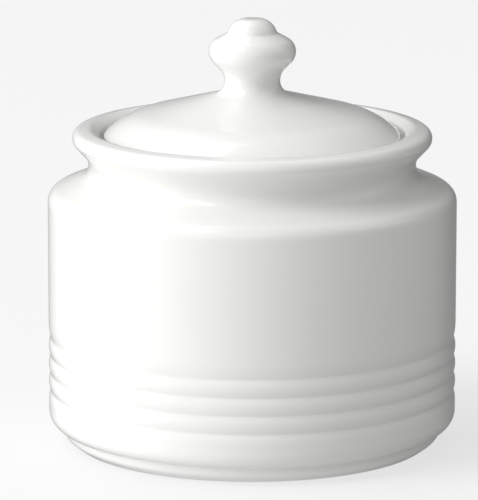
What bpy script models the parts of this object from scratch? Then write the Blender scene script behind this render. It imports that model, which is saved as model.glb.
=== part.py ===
"""Lidded porcelain sugar bowl: a turned bowl with a foot ring, four grooves and a flared
collar, and a domed lid with a bulb knob that drops into the collar's seat.

Both pieces are turned about Z. The bowl stands on Z = 0, and its axis is the Z axis.
"""

import math

import bmesh
import bpy
from mathutils import Vector

MM = 0.001

# Turned work
TURN_STEPS = 40                        # facets round the axis
ARC_STEP = math.radians(26.0)          # largest turn between two points of a rounded corner
MERGE = 0.00001                        # closes the poles and the seam of a turned piece

# Bowl: overall sizes
BODY_RADIUS = 47.5 * MM                # the straight wall, and the widest place
SHOULDER_HEIGHT = 59.1 * MM            # where wall and shoulder would meet as a sharp corner
WALL = 3.5 * MM                        # wall and shoulder thickness
SHOULDER_ROUND = 3.3 * MM

# Bowl: mouth, neck and collar
MOUTH_RADIUS = 32.4 * MM               # clear opening below the seat
SEAT_WIDTH = 2.9 * MM                  # ledge that carries the lid
SEAT_DEPTH = 3.8 * MM                  # from the collar's crest down to the ledge
NECK_WALL = 2.9 * MM                   # mouth to the sharp corner of the neck
NECK_RISE = 5.05 * MM                  # shoulder corner up to the neck corner
NECK_ROUND = 3.7 * MM
COLLAR_RISE = 8.95 * MM                # neck corner up to the collar's outer edge
COLLAR_WIDTH = 8.45 * MM               # seat wall out to the collar's outer edge
COLLAR_ROUND = 2.0 * MM
CREST_RISE = 1.05 * MM                 # outer edge up to the crest
CREST_SETBACK = 2.2 * MM               # seat wall out to the crest
CREST_ROUND = 2.2 * MM
FUNNEL_DROP = 1.35 * MM                # crest down to the top of the seat wall
EDGE_ROUND = 0.6 * MM                  # small edges of the seat and of the base

# Bowl: grooves round the lower wall
GROOVE_COUNT = 4
GROOVE_FIRST = 12.4 * MM               # height of the lowest groove
GROOVE_PITCH = 4.2 * MM
GROOVE_DEPTH = 0.5 * MM
GROOVE_FADE = 3.6 * MM                 # wall above the top groove that bends in to it
BAND_STEPS = 4                         # straight pieces across one raised band

# Bowl: foot and base
HEEL_HEIGHT = 4.5 * MM                 # sharp corner of wall and underside
HEEL_ROUND = 4.0 * MM
CREASE_INSET = 3.4 * MM                # wall to the crease above the foot
CREASE_HEIGHT = 3.8 * MM
CREASE_ROUND = 0.4 * MM
BELLY_INSET = 3.5 * MM                 # wall to the widest corner of the foot
BELLY_HEIGHT = 2.0 * MM
BELLY_ROUND = 2.4 * MM
FOOT_INSET = 6.2 * MM                  # wall to the outer edge of the standing face
FOOT_WIDTH = 2.6 * MM                  # standing face
FOOT_FLARE = 1.2 * MM                  # inner side of the foot leans in by this much
BASE_RECESS = 2.6 * MM                 # underside above the standing face
BASE_WALL = 4.0 * MM
FLOOR_ROUND = 8.0 * MM

# Lid
LID_GAP = 0.9 * MM                     # lid edge to the seat wall
REST_GAP = 0.3 * MM                    # rim of the lid above the ledge
RIM_HEIGHT = 2.6 * MM                  # thickness at the edge of the lid
RIM_CHAMFER = 0.8 * MM
RIM_ROUND = 0.5 * MM
BROW_INSET = 5.0 * MM                  # lid edge to the corner where the dome begins
BROW_RISE = 3.3 * MM                   # rim up to that corner
BROW_ROUND = 20.0 * MM
DOME_RISE = 6.0 * MM                   # brow corner up to the foot of the knob
LID_WALL = 3.4 * MM
FLANGE_GAP = 0.5 * MM                  # locating flange to the mouth
FLANGE_DEPTH = 6.0 * MM                # below the rim's underside
FLANGE_WALL = 2.6 * MM
FLANGE_ROUND = 1.0 * MM

# Knob
WAIST_RADIUS = 6.45 * MM
WAIST_HEIGHT = 4.2 * MM
WAIST_FOOT_ROUND = 3.5 * MM
WAIST_TOP_ROUND = 4.6 * MM
BULB_RADIUS = 10.1 * MM
BULB_UNDER_RISE = 3.7 * MM             # top of the waist up to the bulb's lower corner
BULB_HEIGHT = 3.4 * MM                 # between the bulb's two corners
BULB_ROUND = 3.3 * MM
NOTCH_RADIUS = 5.75 * MM
NOTCH_RISE = 2.4 * MM
NOTCH_ROUND = 0.5 * MM
BUTTON_RADIUS = 4.6 * MM
BUTTON_HEIGHT = 3.3 * MM
BUTTON_ROUND = 4.4 * MM

# Glaze
BOWL_COLOUR = (0.86, 0.86, 0.85, 1.0)
LID_COLOUR = (0.87, 0.87, 0.86, 1.0)
GLAZE_ROUGHNESS = 0.12


def clear_scene():
    """Remove every object that is already in the scene."""
    for thing in list(bpy.data.objects):
        bpy.data.objects.remove(thing, do_unlink=True)


def rounded_corner(before, corner, after, setback):
    """Arc that starts and ends one setback away from a corner, along its two sides."""
    start = corner + (before - corner).normalized() * setback
    end = corner + (after - corner).normalized() * setback
    half_angle = (before - corner).angle(after - corner) / 2.0
    radius = setback * math.tan(half_angle)
    centre = corner + ((start + end) / 2.0 - corner).normalized() * radius / math.sin(half_angle)
    first = (start - centre).normalized()
    last = (end - centre).normalized()
    steps = max(2, math.ceil((math.pi - 2.0 * half_angle) / ARC_STEP))
    return [centre + first.slerp(last, step / steps) * radius for step in range(steps + 1)]


def outline(corners):
    """Profile through corners given as (radius, height, rounding).

    Where two roundings need more than the side between them, both shrink to fit it.
    """
    points = [Vector(corner[:2]) for corner in corners]
    wanted = [0.0] * len(points)
    for place in range(1, len(points) - 1):
        corner = points[place]
        angle = (points[place - 1] - corner).angle(points[place + 1] - corner)
        wanted[place] = corners[place][2] / math.tan(angle / 2.0)

    profile = [points[0]]
    for place in range(1, len(points) - 1):
        before, corner, after = points[place - 1:place + 2]
        if wanted[place] == 0.0:
            profile.append(corner)
            continue
        share_before = (before - corner).length / (wanted[place - 1] + wanted[place])
        share_after = (after - corner).length / (wanted[place] + wanted[place + 1])
        setback = wanted[place] * min(1.0, share_before, share_after)
        profile += rounded_corner(before, corner, after, setback)
    profile.append(points[-1])
    return profile


def wall_depth(height):
    """How far the wall lies inside its straight line at one height.

    Each raised band is a parabola that is flush at its middle and GROOVE_DEPTH deep at
    the grooves on either side. The wall outside the grooves bends in to them the same way.
    """
    top_groove = GROOVE_FIRST + GROOVE_PITCH * (GROOVE_COUNT - 1)
    if height > top_groove:
        away = (top_groove + GROOVE_FADE - height) / GROOVE_FADE
    elif height < GROOVE_FIRST:
        away = (height - GROOVE_FIRST + GROOVE_PITCH / 2.0) / (GROOVE_PITCH / 2.0)
    else:
        along = (height - GROOVE_FIRST) / GROOVE_PITCH
        away = abs(2.0 * (along - math.floor(along)) - 1.0)
    return GROOVE_DEPTH * max(0.0, away) ** 2


def grooved_wall():
    """Corners down the grooved stretch of the wall, top to bottom."""
    top_groove = GROOVE_FIRST + GROOVE_PITCH * (GROOVE_COUNT - 1)
    heights = [top_groove + GROOVE_FADE * step / BAND_STEPS for step in range(BAND_STEPS, 0, -1)]
    for band in range(GROOVE_COUNT - 1):
        band_top = top_groove - GROOVE_PITCH * band
        heights += [band_top - GROOVE_PITCH * step / BAND_STEPS for step in range(BAND_STEPS)]
    half_band = BAND_STEPS // 2
    heights += [GROOVE_FIRST - GROOVE_PITCH * step / BAND_STEPS for step in range(half_band + 1)]
    return [(BODY_RADIUS - wall_depth(height), height, 0.0) for height in heights]


def bowl_levels():
    """Heights of the bowl that the lid is built on: collar crest and seat ledge."""
    crest = SHOULDER_HEIGHT + NECK_RISE + COLLAR_RISE + CREST_RISE
    return crest, crest - SEAT_DEPTH


def bowl_corners():
    """Bowl profile: from the middle of its floor up the inside, over the collar, down the
    outside and in along the underside."""
    crest_height, seat_height = bowl_levels()
    seat_radius = MOUTH_RADIUS + SEAT_WIDTH
    neck_radius = MOUTH_RADIUS + NECK_WALL
    collar_radius = seat_radius + COLLAR_WIDTH
    neck_height = SHOULDER_HEIGHT + NECK_RISE
    collar_height = neck_height + COLLAR_RISE

    # The inside of the shoulder runs parallel to its outside, one wall thickness in.
    slope = math.atan2(NECK_RISE, BODY_RADIUS - neck_radius)
    inner_radius = BODY_RADIUS - WALL
    shoulder_drop = WALL / math.cos(slope)
    inner_shoulder = SHOULDER_HEIGHT + WALL * math.tan(slope) - shoulder_drop
    throat_height = SHOULDER_HEIGHT + (BODY_RADIUS - MOUTH_RADIUS) * math.tan(slope) - shoulder_drop

    floor_height = BASE_RECESS + BASE_WALL
    foot_radius = BODY_RADIUS - FOOT_INSET
    foot_inside = foot_radius - FOOT_WIDTH
    corners = [
        (0.0, floor_height, 0.0),
        (inner_radius, floor_height, FLOOR_ROUND),
        (inner_radius, inner_shoulder, SHOULDER_ROUND),
        (MOUTH_RADIUS, throat_height, NECK_ROUND),
        (MOUTH_RADIUS, seat_height, EDGE_ROUND),
        (seat_radius, seat_height, EDGE_ROUND),
        (seat_radius, crest_height - FUNNEL_DROP, EDGE_ROUND),
        (seat_radius + CREST_SETBACK, crest_height, CREST_ROUND),
        (collar_radius, collar_height, COLLAR_ROUND),
        (neck_radius, neck_height, NECK_ROUND),
        (BODY_RADIUS, SHOULDER_HEIGHT, SHOULDER_ROUND),
    ]
    corners += grooved_wall()
    corners += [
        (BODY_RADIUS, HEEL_HEIGHT, HEEL_ROUND),
        (BODY_RADIUS - CREASE_INSET, CREASE_HEIGHT, CREASE_ROUND),
        (BODY_RADIUS - BELLY_INSET, BELLY_HEIGHT, BELLY_ROUND),
        (foot_radius, 0.0, 0.0),
        (foot_inside, 0.0, 0.0),
        (foot_inside - FOOT_FLARE, BASE_RECESS, EDGE_ROUND),
        (0.0, BASE_RECESS, 0.0),
    ]
    return corners


def lid_corners():
    """Lid profile: from the top of the knob down the outside to the rim, down and round
    the locating flange, and back to the axis under the dome."""
    seat_height = bowl_levels()[1]
    lid_radius = MOUTH_RADIUS + SEAT_WIDTH - LID_GAP
    flange_radius = MOUTH_RADIUS - FLANGE_GAP
    flange_inside = flange_radius - FLANGE_WALL
    rim_bottom = seat_height + REST_GAP
    rim_top = rim_bottom + RIM_HEIGHT
    brow_radius = lid_radius - BROW_INSET
    brow_height = rim_top + BROW_RISE
    waist_foot = brow_height + DOME_RISE
    waist_top = waist_foot + WAIST_HEIGHT
    bulb_low = waist_top + BULB_UNDER_RISE
    bulb_high = bulb_low + BULB_HEIGHT
    notch_height = bulb_high + NOTCH_RISE
    knob_top = notch_height + BUTTON_HEIGHT

    # The hollow runs parallel to the dome, one wall thickness below it.
    dome_slope = math.atan2(DOME_RISE, brow_radius - WAIST_RADIUS)
    hollow_top = waist_foot - LID_WALL / math.cos(dome_slope)
    hollow_edge = hollow_top - (flange_inside - WAIST_RADIUS) * math.tan(dome_slope)
    return [
        (0.0, knob_top, 0.0),
        (BUTTON_RADIUS, knob_top, BUTTON_ROUND),
        (NOTCH_RADIUS, notch_height, NOTCH_ROUND),
        (BULB_RADIUS, bulb_high, BULB_ROUND),
        (BULB_RADIUS, bulb_low, BULB_ROUND),
        (WAIST_RADIUS, waist_top, WAIST_TOP_ROUND),
        (WAIST_RADIUS, waist_foot, WAIST_FOOT_ROUND),
        (brow_radius, brow_height, BROW_ROUND),
        (lid_radius - RIM_CHAMFER, rim_top, RIM_ROUND),
        (lid_radius, rim_top - RIM_CHAMFER, RIM_ROUND),
        (lid_radius, rim_bottom, RIM_ROUND),
        (flange_radius, rim_bottom, RIM_ROUND),
        (flange_radius, rim_bottom - FLANGE_DEPTH, FLANGE_ROUND),
        (flange_inside, rim_bottom - FLANGE_DEPTH, FLANGE_ROUND),
        (flange_inside, hollow_edge, FLANGE_WALL),
        (WAIST_RADIUS, hollow_top, WAIST_RADIUS),
        (0.0, hollow_top, 0.0),
    ]


def glaze(name, colour):
    """Glossy white glaze."""
    material = bpy.data.materials.new(name)
    material.use_nodes = True
    shader = material.node_tree.nodes["Principled BSDF"]
    shader.inputs["Base Color"].default_value = colour
    shader.inputs["Metallic"].default_value = 0.0
    shader.inputs["Roughness"].default_value = GLAZE_ROUGHNESS
    material.diffuse_color = colour
    return material


def turned_piece(name, corners, material, collection):
    """A profile in the XZ plane, swept round Z by a Screw modifier."""
    mesh = bpy.data.meshes.new(name)
    builder = bmesh.new()
    points = [builder.verts.new((point.x, 0.0, point.y)) for point in outline(corners)]
    for start, end in zip(points, points[1:]):
        builder.edges.new((start, end))
    builder.to_mesh(mesh)
    builder.free()
    mesh.materials.append(material)

    piece = bpy.data.objects.new(name, mesh)
    collection.objects.link(piece)
    turn = piece.modifiers.new("Turn", "SCREW")
    turn.axis = "Z"
    turn.angle = 2.0 * math.pi
    turn.steps = TURN_STEPS
    turn.render_steps = TURN_STEPS
    turn.use_merge_vertices = True
    turn.merge_threshold = MERGE
    turn.use_smooth_shade = True
    return piece


def build():
    clear_scene()
    collection = bpy.data.collections.new("sugar_bowl")
    bpy.context.scene.collection.children.link(collection)
    turned_piece("bowl", bowl_corners(), glaze("bowl_glaze", BOWL_COLOUR), collection)
    turned_piece("lid", lid_corners(), glaze("lid_glaze", LID_COLOUR), collection)


build()
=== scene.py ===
"""Lidded porcelain sugar bowl: the finished, glazed surfaces of the bowl and its lid, built
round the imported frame, with a pale studio floor, soft lights and the camera.

Lengths are metres. Bowl and lid are turned about the Z axis, and the bowl stands on Z = 0.
"""

import math

import bpy
import numpy as np
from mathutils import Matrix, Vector


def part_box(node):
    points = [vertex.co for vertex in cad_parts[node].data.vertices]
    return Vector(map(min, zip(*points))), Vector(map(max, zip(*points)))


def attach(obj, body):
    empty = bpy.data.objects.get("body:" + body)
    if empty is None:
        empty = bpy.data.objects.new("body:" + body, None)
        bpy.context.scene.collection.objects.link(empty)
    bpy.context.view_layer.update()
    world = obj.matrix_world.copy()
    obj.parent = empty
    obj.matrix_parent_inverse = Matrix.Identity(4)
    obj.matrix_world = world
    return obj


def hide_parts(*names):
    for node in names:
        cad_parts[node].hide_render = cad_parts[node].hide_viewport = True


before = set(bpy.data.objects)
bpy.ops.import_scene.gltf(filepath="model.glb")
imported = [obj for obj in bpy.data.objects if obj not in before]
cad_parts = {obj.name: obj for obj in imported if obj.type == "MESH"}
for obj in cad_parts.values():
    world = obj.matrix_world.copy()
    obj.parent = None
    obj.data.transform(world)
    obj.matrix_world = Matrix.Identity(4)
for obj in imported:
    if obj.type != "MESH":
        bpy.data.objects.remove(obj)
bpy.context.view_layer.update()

MM = 0.001
TINY = 1e-9                            # keeps a division clear of zero

# ---------------------------------------------------------------- sizes from the frame
bowl_low, bowl_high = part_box("bowl")
lid_low, lid_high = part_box("lid")
BODY_RADIUS = bowl_high.x              # straight wall, the widest place
LID_RADIUS = lid_high.x                # edge of the lid
FLANGE_BOTTOM = lid_low.z              # lower end of the lid's locating flange
KNOB_TOP = lid_high.z

# ---------------------------------------------------------------- bowl
SHOULDER_HEIGHT = 59.1 * MM            # sharp corner of wall and shoulder
SHOULDER_ROUND = 3.3 * MM
WALL = 3.5 * MM
NECK_RADIUS = 35.3 * MM                # sharp corner of the neck
NECK_HEIGHT = SHOULDER_HEIGHT + 5.05 * MM
NECK_ROUND = 3.7 * MM
COLLAR_RADIUS = 43.75 * MM
COLLAR_HEIGHT = NECK_HEIGHT + 8.95 * MM
COLLAR_ROUND = 2.0 * MM
CREST_RADIUS = 37.5 * MM
CREST_HEIGHT = COLLAR_HEIGHT + 1.05 * MM
CREST_ROUND = 2.2 * MM
SEAT_RADIUS = LID_RADIUS + 0.9 * MM
SEAT_HEIGHT = CREST_HEIGHT - 3.8 * MM
SEAT_WALL_TOP = CREST_HEIGHT - 1.35 * MM
MOUTH_RADIUS = 32.4 * MM
EDGE_ROUND = 0.6 * MM

GROOVE_COUNT = 4
GROOVE_FIRST = 12.4 * MM
GROOVE_PITCH = 4.2 * MM
GROOVE_DEPTH = 0.5 * MM
GROOVE_FADE = 3.6 * MM
BAND_STEPS = 24

HEEL_HEIGHT = 4.5 * MM
HEEL_ROUND = 4.0 * MM
CREASE_RADIUS = BODY_RADIUS - 3.4 * MM
CREASE_HEIGHT = 3.8 * MM
CREASE_ROUND = 0.4 * MM
BELLY_RADIUS = BODY_RADIUS - 3.5 * MM
BELLY_HEIGHT = 2.0 * MM
BELLY_ROUND = 2.4 * MM
FOOT_RADIUS = BODY_RADIUS - 6.2 * MM
FOOT_WIDTH = 2.6 * MM
FOOT_FLARE = 1.2 * MM
BASE_RECESS = 2.6 * MM
FLOOR_HEIGHT = 6.6 * MM
FLOOR_ROUND = 8.0 * MM

# ---------------------------------------------------------------- lid
FLANGE_RADIUS = MOUTH_RADIUS - 0.5 * MM
FLANGE_WALL = 2.6 * MM
FLANGE_ROUND = 1.0 * MM
RIM_BOTTOM = FLANGE_BOTTOM + 6.0 * MM
RIM_TOP = RIM_BOTTOM + 2.6 * MM
RIM_CHAMFER = 0.8 * MM
RIM_ROUND = 0.5 * MM
BROW_RADIUS = LID_RADIUS - 5.0 * MM
BROW_HEIGHT = RIM_TOP + 3.3 * MM
BROW_ROUND = 20.0 * MM
LID_WALL = 3.4 * MM
WAIST_RADIUS = 6.45 * MM
WAIST_FOOT = BROW_HEIGHT + 6.0 * MM
WAIST_TOP = WAIST_FOOT + 4.2 * MM
WAIST_FOOT_ROUND = 3.5 * MM
WAIST_TOP_ROUND = 4.6 * MM
BULB_RADIUS = 10.1 * MM
BULB_LOW = WAIST_TOP + 3.7 * MM
BULB_HIGH = BULB_LOW + 3.4 * MM
BULB_ROUND = 3.3 * MM
NOTCH_RADIUS = 5.75 * MM
NOTCH_HEIGHT = BULB_HIGH + 2.4 * MM
NOTCH_ROUND = 0.5 * MM
BUTTON_RADIUS = 4.6 * MM
BUTTON_ROUND = 4.4 * MM

# ---------------------------------------------------------------- surface finish
ARC_POINTS = 24                        # points on each rounded corner of an outline
OUTLINE_STEP = 0.05 * MM               # spacing at which an outline is softened
GLAZE_SOFTENING = 0.20 * MM            # how far the melted glaze rounds every edge
SOFTENING_REACH = 4                    # an average takes in this many blurs on each side
BOWL_RINGS, BOWL_SECTORS = 460, 200
LID_RINGS, LID_SECTORS = 400, 176
RING_CROWDING = 1.6 * MM               # how strongly rings gather where the outline bends
SHARPEST_BEND = 4000.0                 # radians per metre, past which no more rings gather
BOWL_WOBBLE = 0.03 * MM                # how far the fired clay is out of round
LID_WOBBLE = 0.02 * MM
LOBE_TURN = 0.4                        # radians that the pair of lobes is turned
LOBE_TWIST = 60.0                      # radians per metre of height that the three lobes turn
BARE_HEIGHT = 0.12 * MM                # foot and flange are wiped clean up to this height


def rounded_outline(corners):
    """Outline through corners (radius, height, rounding).

    A rounded corner becomes an arc that touches both of its sides at one setback from the
    corner, the setback being the rounding over the tangent of half the corner's angle. Where
    two neighbouring arcs need more than the side between them, both shrink to share it.
    """
    data = np.array(corners, float)
    points, rounding = data[:, :2], data[:, 2]
    sides = np.diff(points, axis=0)
    length = np.hypot(sides[:, 0], sides[:, 1])
    unit = sides / length[:, None]
    cosine = np.clip(-(unit[:-1] * unit[1:]).sum(1), -1.0, 1.0)
    half = np.concatenate([[math.pi / 2], np.arccos(cosine) / 2, [math.pi / 2]])
    wanted = np.where(rounding > 0, rounding / np.tan(half), 0.0)
    share = length / np.maximum(wanted[:-1] + wanted[1:], TINY)
    setback = wanted * np.minimum(1.0, np.minimum(np.append(1.0, share), np.append(share, 1.0)))

    pieces = [points[:1]]
    for place in range(1, len(points) - 1):
        corner = points[place]
        if setback[place] == 0.0:
            pieces.append(points[place:place + 1])
            continue
        start = corner - unit[place - 1] * setback[place]
        end = corner + unit[place] * setback[place]
        inward = (start + end) / 2 - corner
        radius = setback[place] * math.tan(half[place])
        centre = corner + inward / np.hypot(*inward) * radius / math.sin(half[place])
        turn = math.pi - 2 * half[place]
        share_of_turn = np.linspace(0.0, 1.0, ARC_POINTS)[:, None]
        from_start = np.sin((1 - share_of_turn) * turn) / math.sin(turn)
        from_end = np.sin(share_of_turn * turn) / math.sin(turn)
        pieces.append(centre + from_start * (start - centre) + from_end * (end - centre))
    pieces.append(points[-1:])
    return np.concatenate(pieces)


def length_along(points):
    """Distance from the first point to each point, following the outline."""
    steps = np.diff(points, axis=0)
    return np.concatenate([[0.0], np.cumsum(np.hypot(steps[:, 0], steps[:, 1]))])


def softened(points, blur):
    """Outline after the glaze has melted over it: evenly spaced points, each the bell-shaped
    average of its neighbours within a few blurs. Past each end the outline goes on as its own
    mirror image across the axis, so both ends stay on the axis and cross it square."""
    along = length_along(points)
    even = np.linspace(0.0, along[-1], int(along[-1] / OUTLINE_STEP))
    radius = np.interp(even, along, points[:, 0])
    height = np.interp(even, along, points[:, 1])
    reach = int(SOFTENING_REACH * blur / OUTLINE_STEP)
    offsets = np.arange(-reach, reach + 1) * OUTLINE_STEP
    bell = np.exp(-0.5 * (offsets / blur) ** 2)
    bell /= bell.sum()
    radius = np.concatenate([-radius[reach:0:-1], radius, -radius[-2:-reach - 2:-1]])
    height = np.concatenate([height[reach:0:-1], height, height[-2:-reach - 2:-1]])
    soft = np.stack([np.convolve(radius, bell, "valid"), np.convolve(height, bell, "valid")], 1)
    soft[[0, -1], 0] = 0.0
    return soft


def bend_along(points):
    """Signed bend at each point, in radians per metre: positive in hollows, negative on ridges."""
    direction = np.gradient(points, axis=0)
    heading = np.unwrap(np.arctan2(direction[:, 1], direction[:, 0]))
    step = np.gradient(length_along(points))
    return np.gradient(heading) / step


def ring_places(points, rings):
    """Outline positions for the rings of a turned surface: crowded where the outline bends."""
    along = length_along(points)
    bend = np.abs(bend_along(points))
    crowd = 1.0 + RING_CROWDING * np.minimum(bend, SHARPEST_BEND)
    total = np.concatenate([[0.0], np.cumsum((crowd[1:] + crowd[:-1]) / 2 * np.diff(along))])
    return np.interp(np.linspace(0.0, total[-1], rings), total, along)


def turned_piece(name, outline, rings, sectors, wobble):
    """Surface of revolution on a grid of sectors round the axis by rings along the outline.

    A point lies at radius times (cos a, sin a) and at the outline's height. Fired clay is never
    quite round, so the radius is eased in by wobble times (1 + cos(2a + turn) / 2 + cos(3a +
    twist times height) / 2), in proportion to the radius up to the body's own. The first and
    last outline points are on the axis, and become one vertex each. The attribute glaze_pool
    is the outline's bend in radians per millimetre, kept between -1 and 1.
    """
    places = ring_places(outline, rings)
    along = length_along(outline)
    radius = np.interp(places, along, outline[:, 0])[1:-1, None]
    height = np.interp(places, along, outline[:, 1])[1:-1, None]
    bend = np.interp(places, along, bend_along(outline))
    angle = np.arange(sectors)[None, :] * 2 * math.pi / sectors
    lobes = 1 + np.cos(2 * angle + LOBE_TURN) / 2 + np.cos(3 * angle + LOBE_TWIST * height) / 2
    eased = radius - wobble * lobes * np.clip(radius / BODY_RADIUS, 0.0, 1.0)
    grid = np.stack([eased * np.cos(angle), eased * np.sin(angle), height + 0 * angle], 2)
    first_pole = [[0.0, 0.0, outline[0, 1]]]
    last_pole = [[0.0, 0.0, outline[-1, 1]]]
    vertices = np.concatenate([first_pole, grid.reshape(-1, 3), last_pole])

    rows = rings - 2
    index = 1 + np.arange(rows * sectors).reshape(rows, sectors)
    beside = np.roll(index, -1, axis=1)
    quads = np.stack([index[:-1], index[1:], beside[1:], beside[:-1]], 2).reshape(-1, 4)
    first_fan = np.stack([0 * index[0], index[0], beside[0]], 1)
    last_fan = np.stack([0 * index[0] + len(vertices) - 1, beside[-1], index[-1]], 1)
    mesh = bpy.data.meshes.new(name)
    mesh.from_pydata(vertices.tolist(), [], first_fan.tolist() + quads.tolist() + last_fan.tolist())

    pooled = np.concatenate([bend[:1], np.repeat(bend[1:-1], sectors), bend[-1:]])
    attribute = mesh.attributes.new("glaze_pool", "FLOAT", "POINT")
    attribute.data.foreach_set("value", np.clip(pooled * MM, -1.0, 1.0).astype(np.float32))
    mesh.shade_smooth()
    mesh.validate()
    piece = bpy.data.objects.new(name, mesh)
    bpy.context.scene.collection.objects.link(piece)
    return piece


def bare_below(piece, level):
    """Give the second material to every face whose corners all lie at or under a level."""
    mesh = piece.data
    heights = np.empty(len(mesh.vertices) * 3, np.float32)
    mesh.vertices.foreach_get("co", heights)
    heights = heights.reshape(-1, 3)[:, 2]
    corners = np.empty(len(mesh.loops), np.int32)
    mesh.loops.foreach_get("vertex_index", corners)
    starts = np.empty(len(mesh.polygons), np.int32)
    mesh.polygons.foreach_get("loop_start", starts)
    highest = np.maximum.reduceat(heights[corners], starts)
    mesh.polygons.foreach_set("material_index", (highest <= level).astype(np.int32))


# ---------------------------------------------------------------- outlines
def wall_depth(height):
    """Depth of the grooved wall at each height: raised bands are parabolas, flush in their
    middle and one groove deep at both edges, and the plain wall bends in the same way."""
    top_groove = GROOVE_FIRST + GROOVE_PITCH * (GROOVE_COUNT - 1)
    band = (height - GROOVE_FIRST) / GROOVE_PITCH
    inside = np.abs(2 * (band - np.floor(band)) - 1)
    above = (top_groove + GROOVE_FADE - height) / GROOVE_FADE
    below = (height - GROOVE_FIRST + GROOVE_PITCH / 2) / (GROOVE_PITCH / 2)
    away = np.where(height > top_groove, above, np.where(height < GROOVE_FIRST, below, inside))
    return GROOVE_DEPTH * np.maximum(away, 0.0) ** 2


def bowl_outline():
    """From the middle of the floor up the inside, over the collar and down to the foot."""
    slope = math.atan2(NECK_HEIGHT - SHOULDER_HEIGHT, BODY_RADIUS - NECK_RADIUS)
    inner_radius = BODY_RADIUS - WALL
    drop = WALL / math.cos(slope)
    inner_shoulder = SHOULDER_HEIGHT + WALL * math.tan(slope) - drop
    throat = SHOULDER_HEIGHT + (BODY_RADIUS - MOUTH_RADIUS) * math.tan(slope) - drop
    top_groove = GROOVE_FIRST + GROOVE_PITCH * (GROOVE_COUNT - 1)
    span = top_groove + GROOVE_FADE - GROOVE_FIRST + GROOVE_PITCH / 2
    steps = int(span / GROOVE_PITCH * BAND_STEPS)
    wall_heights = np.linspace(top_groove + GROOVE_FADE, GROOVE_FIRST - GROOVE_PITCH / 2, steps)
    wall_corners = [(BODY_RADIUS - wall_depth(z), z, 0.0) for z in wall_heights]
    foot_inside = FOOT_RADIUS - FOOT_WIDTH
    return rounded_outline([
        (0.0, FLOOR_HEIGHT, 0.0),
        (inner_radius, FLOOR_HEIGHT, FLOOR_ROUND),
        (inner_radius, inner_shoulder, SHOULDER_ROUND),
        (MOUTH_RADIUS, throat, NECK_ROUND),
        (MOUTH_RADIUS, SEAT_HEIGHT, EDGE_ROUND),
        (SEAT_RADIUS, SEAT_HEIGHT, EDGE_ROUND),
        (SEAT_RADIUS, SEAT_WALL_TOP, EDGE_ROUND),
        (CREST_RADIUS, CREST_HEIGHT, CREST_ROUND),
        (COLLAR_RADIUS, COLLAR_HEIGHT, COLLAR_ROUND),
        (NECK_RADIUS, NECK_HEIGHT, NECK_ROUND),
        (BODY_RADIUS, SHOULDER_HEIGHT, SHOULDER_ROUND),
        *wall_corners,
        (BODY_RADIUS, HEEL_HEIGHT, HEEL_ROUND),
        (CREASE_RADIUS, CREASE_HEIGHT, CREASE_ROUND),
        (BELLY_RADIUS, BELLY_HEIGHT, BELLY_ROUND),
        (FOOT_RADIUS, 0.0, 0.0),
        (foot_inside, 0.0, 0.0),
        (foot_inside - FOOT_FLARE, BASE_RECESS, EDGE_ROUND),
        (0.0, BASE_RECESS, 0.0),
    ])


def lid_outline():
    """From the top of the knob down to the rim, round the flange and back under the dome."""
    slope = math.atan2(WAIST_FOOT - BROW_HEIGHT, BROW_RADIUS - WAIST_RADIUS)
    hollow_top = WAIST_FOOT - LID_WALL / math.cos(slope)
    flange_inside = FLANGE_RADIUS - FLANGE_WALL
    hollow_edge = hollow_top - (flange_inside - WAIST_RADIUS) * math.tan(slope)
    return rounded_outline([
        (0.0, KNOB_TOP, 0.0),
        (BUTTON_RADIUS, KNOB_TOP, BUTTON_ROUND),
        (NOTCH_RADIUS, NOTCH_HEIGHT, NOTCH_ROUND),
        (BULB_RADIUS, BULB_HIGH, BULB_ROUND),
        (BULB_RADIUS, BULB_LOW, BULB_ROUND),
        (WAIST_RADIUS, WAIST_TOP, WAIST_TOP_ROUND),
        (WAIST_RADIUS, WAIST_FOOT, WAIST_FOOT_ROUND),
        (BROW_RADIUS, BROW_HEIGHT, BROW_ROUND),
        (LID_RADIUS - RIM_CHAMFER, RIM_TOP, RIM_ROUND),
        (LID_RADIUS, RIM_TOP - RIM_CHAMFER, RIM_ROUND),
        (LID_RADIUS, RIM_BOTTOM, RIM_ROUND),
        (FLANGE_RADIUS, RIM_BOTTOM, RIM_ROUND),
        (FLANGE_RADIUS, FLANGE_BOTTOM, FLANGE_ROUND),
        (flange_inside, FLANGE_BOTTOM, FLANGE_ROUND),
        (flange_inside, hollow_edge, FLANGE_WALL),
        (WAIST_RADIUS, hollow_top, WAIST_RADIUS),
        (0.0, hollow_top, 0.0),
    ])


# ---------------------------------------------------------------- materials
GLAZE_WHITE = (0.83, 0.83, 0.815)
POOLED_SHADE = (0.985, 0.988, 0.980)   # thick glaze in a hollow, against the plain glaze
THIN_SHADE = (1.012, 1.012, 1.012)     # thin glaze over a ridge
POOL_FULL = 0.8                        # bend in radians per millimetre that gives the whole shade
DRIFT_SHADE = (0.992, 0.990, 0.980)    # the glaze drifts to this over a few centimetres
DRIFT_SIZE, DRIFT_DETAIL = 28 * MM, 2.0
DRIFT_SPAN = (0.35, 0.65)
PATCH_SIZE, PATCH_DETAIL = 9 * MM, 3.0
PATCH_SPAN = (0.3, 0.7)
BODY_ROUGHNESS = (0.30, 0.38)          # of the porcelain under the glaze, from patch to patch
PEEL_SIZE, PEEL_DETAIL = 3.2 * MM, 1.5
PEEL_STRENGTH, PEEL_DEPTH = 0.35, 0.012 * MM

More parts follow.
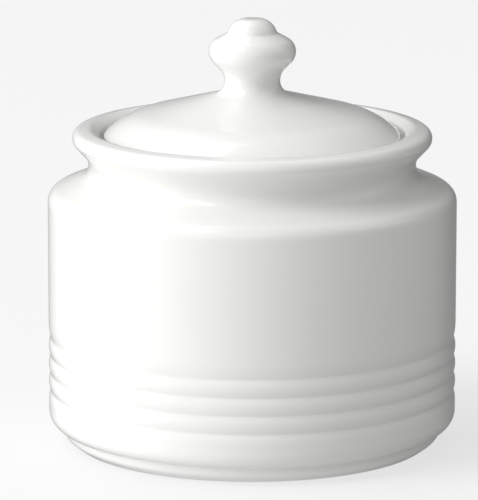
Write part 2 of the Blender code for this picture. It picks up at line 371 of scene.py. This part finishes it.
BARE_WHITE = (0.80, 0.785, 0.75)
RUBBED_SHADE = (0.90, 0.90, 0.90)      # darker grains of the bare clay
GRAIN_SIZE, GRAIN_DETAIL = 0.35 * MM, 4.0
RUBBED_SPAN = (0.58, 0.72)
GRAIN_SPAN = (0.3, 0.7)
BARE_ROUGHNESS = (0.62, 0.8)
GRAIN_STRENGTH, GRAIN_DEPTH = 0.5, 0.04 * MM

COLOUR_A, COLOUR_B, COLOUR_OUT = 6, 7, 2   # colour sockets of a Mix node


def node(tree, kind, **settings):
    """New shader node with its properties set."""
    made = tree.nodes.new(kind)
    for key, value in settings.items():
        setattr(made, key, value)
    return made


def noise(tree, coordinates, size, detail):
    """Noise whose features are about one size across, as a value round 0.5."""
    made = node(tree, "ShaderNodeTexNoise")
    made.inputs["Scale"].default_value = 1.0 / size
    made.inputs["Detail"].default_value = detail
    tree.links.new(coordinates, made.inputs["Vector"])
    return made.outputs["Fac"]


def remapped(tree, value, low, high, to_low, to_high):
    """Value stretched from one range to another and kept inside it."""
    made = node(tree, "ShaderNodeMapRange")
    made.inputs["From Min"].default_value = low
    made.inputs["From Max"].default_value = high
    made.inputs["To Min"].default_value = to_low
    made.inputs["To Max"].default_value = to_high
    tree.links.new(value, made.inputs["Value"])
    return made.outputs["Result"]


def smooth_step(tree, value, low, high, to_low, to_high):
    """Value stretched from one range to another, easing in and out at both ends."""
    result = remapped(tree, value, low, high, to_low, to_high)
    result.node.interpolation_type = "SMOOTHSTEP"
    return result


def shaded(colour, shade):
    """Colour times a shade, channel by channel and at most white, as four numbers."""
    return tuple(min(1.0, channel * part) for channel, part in zip(colour, shade)) + (1.0,)


def mixed(tree, share, first, second):
    """Colour between two colours, each a socket or four numbers."""
    made = node(tree, "ShaderNodeMix", data_type="RGBA")
    tree.links.new(share, made.inputs["Factor"])
    for socket, colour in ((made.inputs[COLOUR_A], first), (made.inputs[COLOUR_B], second)):
        if isinstance(colour, tuple):
            socket.default_value = colour
        else:
            tree.links.new(colour, socket)
    return made.outputs[COLOUR_OUT]


def glazed_porcelain(name, colour):
    """White porcelain under clear glaze.

    The glaze is the coat. It is a little deeper in tone where it pools in hollows and thinner
    and whiter over ridges, drifts slightly in tone over a few centimetres, and has the faint
    orange-peel of a melted surface in its bump.
    """
    material = bpy.data.materials.new(name)
    material.use_nodes = True
    tree = material.node_tree
    shader = tree.nodes["Principled BSDF"]
    place = node(tree, "ShaderNodeTexCoord").outputs["Object"]

    pool = node(tree, "ShaderNodeAttribute", attribute_name="glaze_pool").outputs["Fac"]
    pooled_share = remapped(tree, pool, 0.0, POOL_FULL, 0.0, 1.0)
    thin_share = remapped(tree, pool, 0.0, -POOL_FULL, 0.0, 1.0)
    drift = noise(tree, place, DRIFT_SIZE, DRIFT_DETAIL)
    drift_share = remapped(tree, drift, *DRIFT_SPAN, 0.0, 1.0)
    tone = mixed(tree, drift_share, (*colour, 1.0), shaded(colour, DRIFT_SHADE))
    tone = mixed(tree, thin_share, tone, shaded(colour, THIN_SHADE))
    tone = mixed(tree, pooled_share, tone, shaded(colour, POOLED_SHADE))
    tree.links.new(tone, shader.inputs["Base Color"])

    patches = noise(tree, place, PATCH_SIZE, PATCH_DETAIL)
    roughness = remapped(tree, patches, *PATCH_SPAN, *BODY_ROUGHNESS)
    tree.links.new(roughness, shader.inputs["Roughness"])
    peel = node(tree, "ShaderNodeBump")
    peel.inputs["Strength"].default_value = PEEL_STRENGTH
    peel.inputs["Distance"].default_value = PEEL_DEPTH
    tree.links.new(noise(tree, place, PEEL_SIZE, PEEL_DETAIL), peel.inputs["Height"])
    tree.links.new(peel.outputs["Normal"], shader.inputs["Normal"])
    tree.links.new(peel.outputs["Normal"], shader.inputs["Coat Normal"])

    shader.inputs["Specular IOR Level"].default_value = 0.25
    shader.inputs["Coat Weight"].default_value = 1.0
    shader.inputs["Coat Roughness"].default_value = 0.025
    shader.inputs["Coat IOR"].default_value = 1.5
    shader.inputs["Subsurface Weight"].default_value = 0.12
    shader.inputs["Subsurface Radius"].default_value = (1.0, 0.9, 0.75)
    shader.inputs["Subsurface Scale"].default_value = 1.2 * MM
    return material


def bare_porcelain(name, colour):
    """Unglazed, wiped porcelain of a foot: matt, fine-grained, with a few darker grains."""
    material = bpy.data.materials.new(name)
    material.use_nodes = True
    tree = material.node_tree
    shader = tree.nodes["Principled BSDF"]
    place = node(tree, "ShaderNodeTexCoord").outputs["Object"]
    grain = noise(tree, place, GRAIN_SIZE, GRAIN_DETAIL)
    rubbed_share = remapped(tree, grain, *RUBBED_SPAN, 0.0, 1.0)
    tone = mixed(tree, rubbed_share, (*colour, 1.0), shaded(colour, RUBBED_SHADE))
    tree.links.new(tone, shader.inputs["Base Color"])
    roughness = remapped(tree, grain, *GRAIN_SPAN, *BARE_ROUGHNESS)
    tree.links.new(roughness, shader.inputs["Roughness"])
    rough = node(tree, "ShaderNodeBump")
    rough.inputs["Strength"].default_value = GRAIN_STRENGTH
    rough.inputs["Distance"].default_value = GRAIN_DEPTH
    tree.links.new(grain, rough.inputs["Height"])
    tree.links.new(rough.outputs["Normal"], shader.inputs["Normal"])
    shader.inputs["Specular IOR Level"].default_value = 0.4
    return material


# ---------------------------------------------------------------- pieces
def glazed_piece(name, body, cad_node, outline, rings, sectors, wobble, bare_level):
    """A finished turned piece that rides on its body and stands for its CAD node."""
    piece = turned_piece(name, softened(outline, GLAZE_SOFTENING), rings, sectors, wobble)
    piece.data.materials.append(glazed_porcelain(f"{name}_glaze", GLAZE_WHITE))
    piece.data.materials.append(bare_porcelain(f"{name}_bare", BARE_WHITE))
    bare_below(piece, bare_level)
    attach(piece, body)
    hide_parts(cad_node)


glazed_piece("bowl_porcelain", "bowl", "bowl", bowl_outline(),
             BOWL_RINGS, BOWL_SECTORS, BOWL_WOBBLE, BARE_HEIGHT)
glazed_piece("lid_porcelain", "lid", "lid", lid_outline(),
             LID_RINGS, LID_SECTORS, LID_WOBBLE, FLANGE_BOTTOM + BARE_HEIGHT)


# ---------------------------------------------------------------- studio
CAMERA_DISTANCE = 1.15
CAMERA_RISE = math.radians(11.9)       # how far the camera looks down
CAMERA_LENS = 355.9
SENSOR_WIDTH = 36.0
AIM_POINT = Vector((-3.07 * MM, 0.0, 45.0 * MM))

FLOOR_SIZE = 8.0
FLOOR_TONE = 0.30
FLOOR_ROUGHNESS = 0.9
FLOOR_GLOW = 0.62                      # the paper is lit from behind, so shadows on it stay pale
BACKDROP_LIGHT = 0.92                  # what the camera sees past the floor

LIGHT_DISTANCE = 3.0
LIT_POINT = Vector((0.0, 0.0, 50.0 * MM))
# Name, azimuth, elevation, half width and half height in degrees, brightness of the surface.
SOFTBOXES = (
    ("key_light", -72, 12, 16, 30, 3.0),
    ("high_light", -60, 50, 14, 14, 3.9),
    ("back_light", -120, 62, 18, 18, 1.3),
    ("front_light", -8, 32, 20, 20, 0.45),
    ("side_light", 84, 38, 20, 20, 0.35),
)

SKY_LIGHT = 0.42
UNDER_LIGHT = 0.07                     # sky light from below, where a table would shade it
UNDER_FADE = (-0.6, 0.1)               # sines of the elevations between which it takes over
# Soft glows in the sky: azimuth and elevation of the middle, brightness and narrowness.
# Two are light that comes back from a table, and the third is a diffuser high behind.
SKY_GLOWS = ((-90.0, -45.0, 0.76, 4.0), (-20.0, -50.0, 0.42, 4.0), (180.0, 50.0, 0.45, 14.0))
CARD_SIDE = (150.0, 22.0)              # a dark card stands behind the object on the right
CARD_CORE, CARD_EDGE = 22.0, 46.0      # degrees: dark to the first angle, gone at the second
CARD_SHADE = 0.20                      # sky light that is left in front of the card


def towards(azimuth, elevation):
    """Direction from the object, in degrees. Azimuth 0 is the camera's side, and positive
    azimuths are on the camera's right."""
    turn, rise = math.radians(azimuth), math.radians(elevation)
    return Vector((math.sin(turn) * math.cos(rise), -math.cos(turn) * math.cos(rise), math.sin(rise)))


def studio_floor():
    """Plain pale paper, which the object neither mirrors nor is lit by."""
    half = FLOOR_SIZE / 2
    mesh = bpy.data.meshes.new("studio_floor")
    corners = [(-half, -half, 0.0), (half, -half, 0.0), (half, half, 0.0), (-half, half, 0.0)]
    mesh.from_pydata(corners, [], [(0, 1, 2, 3)])
    floor = bpy.data.objects.new("studio_floor", mesh)
    bpy.context.scene.collection.objects.link(floor)
    material = bpy.data.materials.new("studio_paper")
    material.use_nodes = True
    shader = material.node_tree.nodes["Principled BSDF"]
    shader.inputs["Base Color"].default_value = (FLOOR_TONE, FLOOR_TONE, FLOOR_TONE, 1.0)
    shader.inputs["Roughness"].default_value = FLOOR_ROUGHNESS
    shader.inputs["Specular IOR Level"].default_value = 0.0
    shader.inputs["Emission Color"].default_value = (1.0, 1.0, 1.0, 1.0)
    shader.inputs["Emission Strength"].default_value = FLOOR_GLOW
    mesh.materials.append(material)
    floor.visible_diffuse = False
    floor.visible_glossy = False
    floor.visible_transmission = False
    floor.visible_shadow = False


def softbox(name, azimuth, elevation, half_width, half_height, brightness):
    """Flat light that faces the object, seen from it under twice the two half angles."""
    data = bpy.data.lights.new(name, "AREA")
    data.shape = "RECTANGLE"
    data.size = 2 * LIGHT_DISTANCE * math.tan(math.radians(half_width))
    data.size_y = 2 * LIGHT_DISTANCE * math.tan(math.radians(half_height))
    data.energy = brightness * math.pi * data.size * data.size_y
    light = bpy.data.objects.new(name, data)
    direction = towards(azimuth, elevation)
    light.location = LIT_POINT + direction * LIGHT_DISTANCE
    light.rotation_mode = "QUATERNION"
    light.rotation_quaternion = direction.to_track_quat("Z", "Y")
    light.visible_camera = False
    bpy.context.scene.collection.objects.link(light)


def facing(tree, direction, side):
    """Cosine of the angle between a sky direction and one side, as a socket."""
    made = node(tree, "ShaderNodeVectorMath", operation="DOT_PRODUCT")
    tree.links.new(direction, made.inputs[0])
    made.inputs[1].default_value = towards(*side)
    return made.outputs["Value"]


def studio_sky():
    """Dim sky, darker where the card stands, with soft glows. A glow is its brightness times
    ((1 + cosine of the angle from its middle) / 2) raised to its narrowness. The backdrop that
    the camera sees past the floor is plain and nearly white."""
    world = bpy.data.worlds.new("studio_sky")
    world.use_nodes = True
    tree = world.node_tree
    direction = node(tree, "ShaderNodeTexCoord").outputs["Generated"]
    up = node(tree, "ShaderNodeSeparateXYZ")
    tree.links.new(direction, up.inputs[0])
    sky = smooth_step(tree, up.outputs["Z"], *UNDER_FADE, UNDER_LIGHT, SKY_LIGHT)
    card_cosines = [math.cos(math.radians(angle)) for angle in (CARD_EDGE, CARD_CORE)]
    card = smooth_step(tree, facing(tree, direction, CARD_SIDE), *card_cosines, 1.0, CARD_SHADE)
    shaded_sky = node(tree, "ShaderNodeMath", operation="MULTIPLY")
    tree.links.new(sky, shaded_sky.inputs[0])
    tree.links.new(card, shaded_sky.inputs[1])
    total = shaded_sky.outputs[0]
    for azimuth, elevation, brightness, narrowness in SKY_GLOWS:
        side = facing(tree, direction, (azimuth, elevation))
        nearness = node(tree, "ShaderNodeMath", operation="POWER")
        tree.links.new(remapped(tree, side, -1.0, 1.0, 0.0, 1.0), nearness.inputs[0])
        nearness.inputs[1].default_value = narrowness
        added = node(tree, "ShaderNodeMath", operation="MULTIPLY_ADD")
        tree.links.new(nearness.outputs[0], added.inputs[0])
        added.inputs[1].default_value = brightness
        tree.links.new(total, added.inputs[2])
        total = added.outputs[0]
    tree.links.new(total, tree.nodes["Background"].inputs["Strength"])
    tree.nodes["Background"].inputs["Color"].default_value = (1.0, 1.0, 1.0, 1.0)

    backdrop = node(tree, "ShaderNodeBackground")
    backdrop.inputs["Strength"].default_value = BACKDROP_LIGHT
    seen = node(tree, "ShaderNodeMixShader")
    tree.links.new(node(tree, "ShaderNodeLightPath").outputs["Is Camera Ray"], seen.inputs[0])
    tree.links.new(tree.nodes["Background"].outputs[0], seen.inputs[1])
    tree.links.new(backdrop.outputs[0], seen.inputs[2])
    tree.links.new(seen.outputs[0], tree.nodes["World Output"].inputs["Surface"])
    bpy.context.scene.world = world


def studio_camera():
    """Long lens, a little above the collar."""
    data = bpy.data.cameras.new("camera")
    data.lens = CAMERA_LENS
    data.sensor_width = SENSOR_WIDTH
    camera = bpy.data.objects.new("camera", data)
    back = Vector((0.0, -math.cos(CAMERA_RISE), math.sin(CAMERA_RISE)))
    camera.location = Vector((0.0, 0.0, AIM_POINT.z)) + back * CAMERA_DISTANCE
    camera.rotation_mode = "QUATERNION"
    camera.rotation_quaternion = (camera.location - AIM_POINT).to_track_quat("Z", "Y")
    bpy.context.scene.collection.objects.link(camera)
    bpy.context.scene.camera = camera


studio_floor()
studio_sky()
for light in SOFTBOXES:
    softbox(*light)
studio_camera()
bpy.context.scene.view_settings.view_transform = "Standard"
